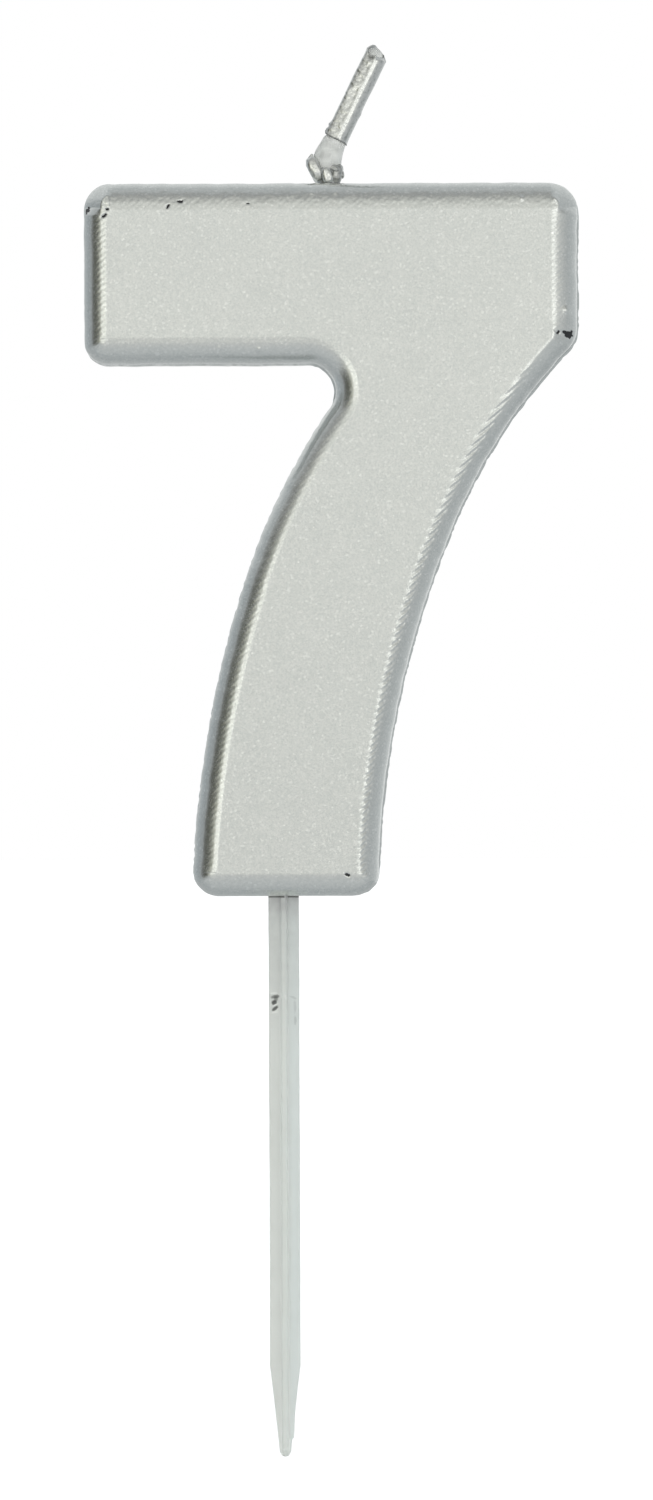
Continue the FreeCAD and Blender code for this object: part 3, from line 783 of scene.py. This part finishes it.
def sleeve_piece(material):
    """The silvered tube round the top of the wick, pitted on its left and torn open at its end."""
    angle = round_angles(SLEEVE_TURNS)
    path = wick_path(70.0, 90.0, 0.02)
    side, along = frames(path)
    low = np.argmin(np.abs(path[:, 2] - (CUT_Z - SLEEVE_LONG * along[-1][2])))
    centre, across, up = path[low], side[low + 40], along[low + 40]
    bottom, top = sleeve_ends(angle)
    share = np.linspace(0, 1, SLEEVE_STEPS)[:, None]
    height = bottom * (1 - share) + (SLEEVE_LONG + top) * share
    lifted, gap = height - bottom, SLEEVE_LONG + top - height

    rough = band(1.5, 1.75, 2.75, 3.1, angle) * (0.55 + 0.2 * fade(2.0, 7.0, height))
    pits = dapple(height / 0.36, angle / 0.3, 53) + 0.5 * dapple(height / 0.18, angle / 0.16, 54)
    outer = sleeve_section(angle) + 0.042 * rough * pits + 0.03 * dapple(height / 2.2, angle / 1.3, 56)
    ends = np.exp(-lifted / 0.2) + np.exp(-gap / 0.3)
    kink = hump(height, 3.3, 0.35) * hump(angle, *KINKED)
    outer = outer + 0.06 * ends * ripple(angle * 4.0, 55) + 0.07 * kink
    loose = hump(angle, *LOOSE) * (1 - fade(0.9, 1.9, height))
    outer = outer + loose * (0.14 + 0.14 * dapple(height / 0.3, angle / 0.25, 57))
    curled_in = (1 - fade(0.0, 0.35, gap)) * fade(-0.1, 0.6, np.cos(angle))
    outer = outer - 0.3 * curled_in
    inner = np.minimum(SLEEVE_BORE + 0.02 * pits, outer - FOIL_THICK)
    lip = 0.07 * np.exp(-lifted / 0.1)

    out = spokes(across, angle)
    outside, inside = (centre + up * height[:, :, None] + out * radius[:, :, None]
                       for radius in (outer + lip, inner))
    rings = np.concatenate([outside, inside[::-1]])
    faces = turned_over(ring_faces(len(rings), SLEEVE_TURNS, closed_along=True))
    piece = make_piece("sleeve", rings.reshape(-1, 3), faces, material,
                       "silver_lacquer", "wick_lacquer_sleeve")
    # Painted shade, for the material to darken the lacquer with.
    paint(piece, "painted_shade", sleeve_painted_shade(angle, height, lifted, gap))


# The root's wrung lobes: middle, half width, half depth, half length, and lean to the left in degrees.
LOBES = (
    ((3.36, -0.6, 71.5), 0.70, 0.7, 1.25, 26), ((4.52, -1.0, 70.85), 0.54, 0.5, 0.9, 16),
    ((5.42, -0.35, 71.0), 0.62, 0.8, 1.05, -8), ((4.95, -0.62, 71.65), 1.05, 0.66, 0.4, -24),
    ((3.6, 0.6, 71.4), 0.75, 0.7, 1.3, 20), ((4.9, 0.85, 71.1), 0.7, 0.55, 1.15, 5),
    ((5.7, 0.3, 71.2), 0.4, 0.6, 0.8, -10), ((4.0, -0.2, 71.9), 0.9, 0.9, 0.6, 10),
    ((2.86, -0.3, 72.65), 0.16, 0.16, 0.42, -35), ((6.0, -0.2, 70.95), 0.22, 0.3, 0.36, 0),
)

# The right lobes get painted shade.
SHADED_LOBES, LOBE_SHADE = (2, 3), 0.8
LOBE_TURNS, LOBE_ROWS, BOXY = 40, 28, 0.75
FOOT_Z, FOOT_TOP_Z, FOOT_R, FOOT_TOP_R = 69.6, 72.0, 1.05, 1.3
# Painted shade: its strength, the heights where it fades up the foot, and how far it reaches round a
# lobe's neighbours.
ROOT_SHADE, FOOT_SHADE_Z, LOBE_SHADE_REACH = 0.58, (70.0, 70.25), 1.3


def boxed(wave):
    """A sine or cosine made squarer."""
    return np.sign(wave) * np.abs(wave) ** BOXY


def lobe_frame(lean):
    """The across and along directions of a lobe, seen from the front."""
    c, s = cosine_and_sine(lean)
    return np.array((c, 0.0, s)), np.array((-s, 0.0, c))


def root_piece(material):
    """The silvered root: lobes wrung round the wick on a short foot."""
    foot = wick_path(FOOT_Z, FOOT_TOP_Z, 0.1)
    girth = np.interp(foot[:, 2], (FOOT_Z, FOOT_TOP_Z), (FOOT_R, FOOT_TOP_R))
    shapes = [closed_tube(tube(foot, girth[:, None], LOBE_TURNS))]
    polar = np.radians(np.linspace(2, 178, LOBE_ROWS))[:, None]
    angle = round_angles(LOBE_TURNS)[None, :]
    for i, (middle, wide, deep, long, lean) in enumerate(LOBES):
        across, along = lobe_frame(lean)
        lump = 1 + 0.06 * dapple(angle * 2.2 + 9 * i, polar * 3.0, 61)
        girth = np.sin(polar) ** BOXY * lump
        sideways = wide * girth * boxed(np.cos(angle))
        forward = deep * girth * boxed(np.sin(angle))
        upward = -long * lump * boxed(np.cos(polar))
        axes = ((across, sideways), (along, upward), (TO_FRONT, forward))
        shape = sum(axis * distance[:, :, None] for axis, distance in axes)
        shapes.append(closed_tube(shape + np.array(middle)))
    owner = np.repeat(np.arange(-1, len(LOBES)), [len(points) for points, _ in shapes])
    points, faces = joined(shapes)
    points[:, 2] = np.maximum(points[:, 2], FOOT_Z)
    # Painted shade at the foot, where it meets the numeral, and where a lobe runs into another one.
    painted_shade = 1 - fade(*FOOT_SHADE_Z, points[:, 2])
    for i, (middle, wide, deep, long, lean) in enumerate(LOBES):
        across, along = lobe_frame(lean)
        gap = points - np.array(middle)
        near = np.sqrt((gap @ across / wide) ** 2 + (gap[:, 1] / deep) ** 2 + (gap @ along / long) ** 2)
        painted_shade = np.maximum(painted_shade, np.where(owner == i, 0.0, 1 - fade(1.0, LOBE_SHADE_REACH, near)))
    # The right lobes are painted darker, as shade.
    painted_shade = np.maximum(painted_shade, LOBE_SHADE * np.isin(owner, SHADED_LOBES))
    piece = make_piece("root", points, faces, material, "silver_lacquer", "wick_lacquer_root")
    # Painted shade, for the material to darken the lacquer with.
    paint(piece, "painted_shade", ROOT_SHADE * painted_shade)


# ---- materials ----

class Nodes:
    """A node tree under construction, with short calls for the nodes it needs."""

    def __init__(self, tree):
        self.tree = tree

    def put(self, value, socket):
        if isinstance(value, bpy.types.NodeSocket):
            self.tree.links.new(value, socket)
        else:
            socket.default_value = value

    def node(self, kind, *inputs, **settings):
        made = self.tree.nodes.new(kind)
        for key, value in settings.items():
            setattr(made, key, value)
        for value, socket in zip(inputs, made.inputs):
            self.put(value, socket)
        return made

    def math(self, operation, *values):
        return self.node("ShaderNodeMath", *values, operation=operation).outputs[0]

    def plus(self, *values):
        return self.math("ADD", *values)

    def times(self, *values):
        return self.math("MULTIPLY", *values)

    def gap(self, value, other):
        return self.math("ABSOLUTE", self.math("SUBTRACT", value, other))

    def remap(self, value, low, high, to_low=0.0, to_high=1.0, **settings):
        made = self.node("ShaderNodeMapRange", value, low, high, to_low, to_high, **settings)
        return made.outputs[0]

    def ramp(self, value, *stops):
        """Colours at positions from 0 to 1."""
        made = self.node("ShaderNodeValToRGB", value)
        elements = made.color_ramp.elements
        while len(elements) < len(stops):
            elements.new(0.5)
        for element, (position, colour) in zip(elements, stops):
            element.position = position
            element.color = (*colour, 1.0)
        return made.outputs[0]

    def mix(self, share, first, second):
        """One colour and another, each a socket or three numbers."""
        made = self.node("ShaderNodeMix", share, data_type="RGBA")
        for colour, socket in zip((first, second), made.inputs[6:]):
            self.put((*colour, 1.0) if isinstance(colour, tuple) else colour, socket)
        return made.outputs[2]


class Shader(Nodes):
    """A material's nodes."""

    def __init__(self, name, **sockets):
        self.material = bpy.data.materials.new(name)
        self.material.use_nodes = True
        super().__init__(self.material.node_tree)
        self.surface = self.tree.nodes["Principled BSDF"]
        self.use(**sockets)

    def use(self, **sockets):
        for key, value in sockets.items():
            self.put(value, self.surface.inputs[key.replace("_", " ")])
        return self.material

    def place(self):
        return self.node("ShaderNodeTexCoord").outputs["Object"]

    def axes(self):
        """The place's X, Y and Z in millimetres."""
        split = self.node("ShaderNodeSeparateXYZ", self.place())
        return [self.math("DIVIDE", axis, MM) for axis in split.outputs]

    def noise(self, grain_mm, detail=2.0):
        """Noise from 0 to 1 with a grain in millimetres."""
        made = self.node("ShaderNodeTexNoise", self.place())
        made.inputs["Scale"].default_value = 1.0 / (grain_mm * MM)
        made.inputs["Detail"].default_value = detail
        return made.outputs["Fac"]

    def clouds(self, grain_mm, low, high, detail=2.0, edge=0.3):
        """Noise that runs from one value to another."""
        return self.remap(self.noise(grain_mm, detail), edge, 1.0 - edge, low, high)

    def flakes(self, grain_mm, shift=0.0):
        """A random value from 0 to 1 for each small cell."""
        moved = self.node("ShaderNodeVectorMath", self.place(), (shift,) * 3, operation="ADD")
        made = self.node("ShaderNodeTexVoronoi", moved.outputs[0])
        made.inputs["Scale"].default_value = 1.0 / (grain_mm * MM)
        return self.node("ShaderNodeSeparateColor", made.outputs["Color"]).outputs[0]

    def distance(self, x, z, centre_x, centre_z, long, wide, turn):
        """How far the place is from an oval spot seen from the front: 1 is on the oval."""
        c, s = cosine_and_sine(turn)
        x, z = self.math("SUBTRACT", x, centre_x), self.math("SUBTRACT", z, centre_z)
        squares = []
        for part_x, part_z, half in ((c, s, long), (-s, c, wide)):
            part = self.plus(self.times(x, part_x), self.times(z, part_z))
            squares.append(self.math("POWER", self.math("DIVIDE", part, half), 2.0))
        return self.math("SQRT", self.plus(*squares))

    def painted(self, name):
        return self.node("ShaderNodeAttribute", attribute_name=name).outputs["Fac"]

    def bump(self, height, distance_mm, under=None):
        made = self.node("ShaderNodeBump")
        self.put(height, made.inputs["Height"])
        made.inputs["Distance"].default_value = distance_mm * MM
        made.inputs["Strength"].default_value = 1.0
        if under is not None:
            self.put(under, made.inputs["Normal"])
        return made.outputs[0]


def lacquer_material():
    """Silver lacquer sprayed on wax: satin, with fine flakes, and dark wax where it has come off."""
    shader = Shader("silver_lacquer")
    bare = shader.plus(shader.painted("bare"), shader.clouds(0.18, -0.18, 0.18))
    bare = shader.remap(bare, 0.42, 0.58)
    bare = shader.times(bare, shader.remap(shader.painted("bare"), 0.02, 0.2))
    tone = shader.plus(shader.times(shader.flakes(0.16), 0.55), shader.times(shader.noise(3.5, 3.0), 0.45))
    silver = shader.ramp(tone, (0.15, (0.72, 0.74, 0.725)), (0.5, (0.765, 0.78, 0.76)),
                         (0.85, (0.81, 0.82, 0.80)))
    speck = shader.remap(shader.flakes(0.19, 3.0), 0.9, 0.98, 0.0, 0.6)
    silver = shader.mix(speck, silver, (0.92, 0.93, 0.91))
    colour = shader.mix(bare, silver, (0.012, 0.013, 0.015))
    metal = shader.math("SUBTRACT", 1.0, bare)
    gloss = shader.clouds(0.5, 0.17, 0.22, 3.0, edge=0.2)
    fine = shader.bump(shader.noise(0.14), 0.007)
    grain = shader.bump(shader.flakes(0.2), 0.0055, under=fine)
    return shader.use(Base_Color=colour, Metallic=metal, Roughness=gloss, Normal=grain)


def wax_material():
    """Dark wax, a little cloudy."""
    shader = Shader("dark_wax", Roughness=0.45)
    colour = shader.ramp(shader.noise(2.0, 3.0), (0.3, (0.011, 0.012, 0.014)),
                         (0.7, (0.02, 0.021, 0.024)))
    return shader.use(Base_Color=colour, Normal=shader.bump(shader.noise(0.6), 0.02))


# Smears of lacquer and painted highlights on the pick: x, z, half length, half width, turn in
# degrees, strength.
SMEARS = (
    (-0.86, -9.93, 0.44, 0.2, 8, 0.75), (-0.8, -10.15, 0.2, 0.3, 0, 0.6),
    (-0.95, -10.5, 0.26, 0.22, 20, 0.92), (-0.87, -11.08, 0.36, 0.17, 38, 0.9),
    (0.9, -10.0, 0.4, 0.12, -20, 0.2), (1.08, -10.9, 0.14, 0.7, 0, 0.18),
    (1.1, -12.3, 0.14, 0.5, 0, 0.22),
)
PAINTED_HIGHLIGHTS = (
    (-1.0, -9.58, 0.4, 0.07, 3, 0.8), (-0.85, -10.75, 0.38, 0.07, 28, 0.8),
    (-0.92, -11.48, 0.36, 0.08, 10, 0.8), (-0.29, -9.85, 0.1, 0.36, 0, 0.75),
    (0.18, -9.95, 0.12, 0.3, 15, 0.5),
)


# Painted light: the corner between the rib and the web is painted paler, for light that runs through it.
GROOVE_X = RIB_HALF + 0.06


def pick_material():
    """Milky plastic with a green cast, warmer down one arm, dusted with lacquer near the wax, with painted
    light beside the rib, painted highlights, and a painted shadow where it meets the wax.
    """
    shader = Shader("milky_plastic", Roughness=0.35, IOR=1.5)
    x, _, z = shader.axes()
    cast = shader.plus(x, shader.clouds(3.0, -0.35, 0.35, edge=0.2))
    colour = shader.ramp(shader.remap(cast, -1.2, 1.2), (0.2, (0.82, 0.84, 0.805)),
                         (0.5, (0.83, 0.86, 0.82)), (0.8, (0.815, 0.86, 0.84)))
    # Painted light: paler along the corners beside the rib.
    beside_groove = shader.gap(shader.math("ABSOLUTE", x), GROOVE_X)
    painted_glow = shader.remap(beside_groove, 0.14, 0.04, 0.0, 0.75)
    colour = shader.mix(painted_glow, colour, (0.98, 1.0, 0.975))
    dusty = shader.times(shader.remap(z, -14.0, 1.0), shader.clouds(0.8, 0.3, 0.7, 3.0, edge=0.25))
    colour = shader.mix(dusty, colour, (0.55, 0.57, 0.56))
    # Darker over the top few millimetres, just under the numeral's base.
    darker_near_base = shader.times(shader.remap(z, -2.6, -0.3), shader.clouds(0.9, 0.25, 0.65, 3.0))
    colour = shader.mix(darker_near_base, colour, (0.42, 0.41, 0.41))
    fringe = shader.clouds(0.3, -0.35, 0.35, 3.0, edge=0.2)
    # Smears of lacquer, then painted highlights.
    for marks, paint in ((SMEARS, (0.07, 0.075, 0.07)), (PAINTED_HIGHLIGHTS, (0.98, 0.99, 0.96))):
        for *oval, strength in marks:
            away = shader.plus(shader.distance(x, z, *oval), fringe)
            colour = shader.mix(shader.remap(away, 1.15, 0.7, 0.0, strength), colour, paint)
    clear = shader.clouds(1.4, 0.5, 0.6)
    # Painted shadow: a dark line where the pick meets the numeral's base, off the rib, which also lets
    # less light through there.
    off_rib = shader.remap(shader.gap(x, 0.25), 0.1, 0.2)
    under = shader.times(shader.remap(z, -0.22, -0.13), off_rib)
    colour = shader.mix(shader.times(under, 0.85), colour, (0.05, 0.05, 0.045))
    clear = shader.times(clear, shader.math("SUBTRACT", 1.0, under))
    return shader.use(Base_Color=colour, Transmission_Weight=clear,
                      Normal=shader.bump(shader.noise(0.5), 0.015))


def cotton_material():
    """Waxed cotton, with painted shade at its top end inside the sleeve."""
    shader = Shader("waxed_cotton", Roughness=0.75)
    colour = shader.ramp(shader.noise(0.16, 3.0), (0.3, (0.86, 0.87, 0.85)), (0.7, (0.96, 0.96, 0.94)))
    _, _, z = shader.axes()
    # Painted shade: grey towards the top end, inside the sleeve's mouth.
    colour = shader.mix(shader.remap(z, CUT_Z - 1.6, CUT_Z - 1.2), colour, (0.5, 0.5, 0.49))
    return shader.use(Base_Color=colour, Normal=shader.bump(shader.noise(0.1), 0.03))


def clear_wax_material():
    """Clear, slightly cloudy wax."""
    shader = Shader("clear_wax", Roughness=0.35, IOR=1.35)
    colour = shader.ramp(shader.noise(0.6, 3.0), (0.3, (0.965, 0.98, 0.95)), (0.7, (0.99, 1.0, 0.975)))
    clear = shader.clouds(0.9, 0.1, 0.4)
    return shader.use(Base_Color=colour, Transmission_Weight=clear,
                      Normal=shader.bump(shader.noise(0.9), 0.05))


def foil_material():
    """The lacquer on the wick: brighter than on the numeral, with painted shade in its folds, edges and
    hollows.
    """
    shader = Shader("wick_lacquer")
    colour = shader.ramp(shader.noise(0.3, 3.0), (0.3, (0.6, 0.61, 0.595)), (0.45, (0.8, 0.81, 0.79)),
                         (0.75, (0.9, 0.9, 0.875)))
    # Painted shade stored on the pieces, darkening the colour.
    painted_shade = shader.times(shader.painted("painted_shade"), shader.clouds(0.2, 0.75, 1.15, 3.0))
    colour = shader.mix(painted_shade, colour, (0.09, 0.095, 0.095))
    gloss = shader.clouds(0.25, 0.14, 0.26, edge=0.2)
    fine = shader.bump(shader.noise(0.2), 0.02)
    return shader.use(Base_Color=colour, Metallic=1.0, Roughness=gloss, Normal=fine)


# ---- light, floor and camera ----

# The camera, in metres: how far off it is, how tall a piece it sees and what it looks at.
VIEW_DISTANCE, VIEW_HEIGHT, VIEW_CENTRE = 0.55, 0.14775, (0.00427, 0.01433)
VIEW_ROLL = math.radians(0.2)
SENSOR = 36.0
# The share of the light that the lacquer gives back.
LACQUER_SHARE = 0.77
# How the studio's four ramps run into each other, as shares of the way round.
SIDE_BLEND, TURN_BLEND = 0.3, (0.8, 1.0)


def set_camera():
    data = bpy.data.cameras.new("camera")
    data.sensor_width = SENSOR
    data.lens = SENSOR * VIEW_DISTANCE / VIEW_HEIGHT
    data.clip_start = 0.01
    camera = bpy.data.objects.new("camera", data)
    camera.location = (VIEW_CENTRE[0], -VIEW_DISTANCE, VIEW_CENTRE[1])
    camera.rotation_euler = (math.radians(90), VIEW_ROLL, 0)
    bpy.context.scene.collection.objects.link(camera)
    bpy.context.scene.camera = camera


def tone(r, g, b):
    """Linear light for an 8-bit display colour."""
    return tuple(((c / 255 + 0.055) / 1.055) ** 2.4 for c in (r, g, b))


def studio_ramp(*stops):
    """Brightness by angle from straight out of the front face.

    Each stop is an angle in degrees, the grey that the lacquer shows for it, and how blue it is, or
    how olive where that is below 0.
    """
    made = []
    for degrees, grey, blue in stops:
        olive = min(blue, 0) / 4
        light = tone(grey - blue / 2 + olive, grey + 1 - olive, grey + blue / 2)
        made.append((degrees / 180, tuple(c / LACQUER_SHARE for c in light)))
    return made


# The studio as the lacquer sees it. The front is the same whichever way the ramps run.
FRONT = (0, 176, -1)
STUDIO = {
    "left": studio_ramp(
        FRONT, (4, 206, -4), (8, 263, -6), (15, 263, -9), (23, 208, -12), (29, 176, -12),
        (35, 146, -12), (43, 108, -9), (52, 84, -7), (62, 80, -5), (70, 92, -4), (77, 122, 2),
        (84, 146, 6), (110, 156, 9), (135, 168, 8), (150, 172, 6), (166, 190, 4), (180, 240, 0)),
    "right": studio_ramp(
        FRONT, (4, 205, -4), (7, 268, -5), (19, 268, -4), (27, 208, -2), (34, 191, 0), (43, 182, 2),
        (57, 170, 3), (71, 165, 5), (90, 170, 5), (120, 182, 5), (150, 205, 3), (166, 220, 2),
        (180, 240, 0)),
    "above": studio_ramp(
        FRONT, (2, 193, -2), (5, 211, -3), (8, 209, -3), (16, 203, -4), (25, 193, -4),
        (35, 178, -3), (45, 162, -2), (54, 146, 0), (62, 146, 2), (71, 161, 3), (83, 169, 4),
        (96, 171, 5), (110, 188, 4), (130, 200, 3), (150, 200, 3), (166, 212, 3), (180, 240, 0)),
    "below": studio_ramp(
        FRONT, (3, 182, -1), (6, 191, -1), (10, 193, -2), (14, 190, -1), (20, 187, 1), (30, 183, 2),
        (45, 181, 4), (70, 174, 5), (90, 165, 6), (110, 160, 6), (135, 167, 5), (150, 168, 4),
        (172, 172, 4), (180, 225, 0)),
}


def set_world():
    """A white surround to look at, and a softer studio of panels and gaps to be lit by."""
    bpy.context.scene.view_settings.view_transform = "Standard"
    world = bpy.data.worlds.new("studio")
    bpy.context.scene.world = world
    world.use_nodes = True
    studio = Nodes(world.node_tree)
    studio.tree.nodes.clear()
    direction = studio.node("ShaderNodeTexCoord").outputs["Generated"]
    x, y, z = studio.node("ShaderNodeSeparateXYZ", direction).outputs
    polar = studio.math("DIVIDE", studio.math("ARCCOSINE", studio.times(y, -1.0)), math.pi)
    spread = studio.math("MAXIMUM", studio.math("SINE", studio.times(polar, math.pi)), 0.02)
    sideways, upward = (studio.math("DIVIDE", axis, spread) for axis in (x, z))
    ramps = {name: studio.ramp(polar, *stops) for name, stops in STUDIO.items()}

    def gradual(value, low, high):
        return studio.remap(value, low, high, interpolation_type="SMOOTHSTEP")

    level = studio.mix(gradual(sideways, -SIDE_BLEND, SIDE_BLEND), ramps["left"], ramps["right"])
    upright = studio.mix(gradual(upward, -SIDE_BLEND, SIDE_BLEND), ramps["below"], ramps["above"])
    turned = gradual(studio.math("ABSOLUTE", sideways), *TURN_BLEND)
    light = studio.node("ShaderNodeBackground", studio.mix(turned, upright, level))
    backdrop = studio.node("ShaderNodeBackground", (1.0, 1.0, 1.0, 1.0))
    seen = studio.node("ShaderNodeLightPath").outputs["Is Camera Ray"]
    shown = studio.node("ShaderNodeMixShader", seen, light.outputs[0], backdrop.outputs[0])
    studio.node("ShaderNodeOutputWorld", shown.outputs[0])


FLOOR_REACH, FLOOR_GAP, FLOOR_GLOW = 3.0, 0.0002, 0.6


def set_floor():
    mesh = bpy.data.meshes.new("floor")
    level = PICK_LOW[2] * MM - FLOOR_GAP
    corners = [(x * FLOOR_REACH, y * FLOOR_REACH, level) for x, y in ((-1, -1), (1, -1), (1, 1), (-1, 1))]
    mesh.from_pydata(corners, [], [(0, 1, 2, 3)])
    floor = bpy.data.objects.new("floor", mesh)
    shader = Shader("floor_paint", Roughness=0.9, Emission_Color=(1.0, 1.0, 1.0, 1.0),
                    Emission_Strength=FLOOR_GLOW)
    shader.use(Base_Color=shader.ramp(shader.noise(2.0), (0.0, (0.9,) * 3), (1.0, (0.93,) * 3)))
    mesh.materials.append(shader.material)
    bpy.context.scene.collection.objects.link(floor)
    floor.visible_glossy = False


set_camera()
set_world()
set_floor()
LACQUER = lacquer_material()
coat_half("coat_front", -1, LACQUER)
coat_half("coat_back", 1, LACQUER)
wax_core(wax_material())
pick_piece(pick_material())
braid_piece(cotton_material())
cuff_piece(clear_wax_material())
FOIL = foil_material()
sleeve_piece(FOIL)
root_piece(FOIL)
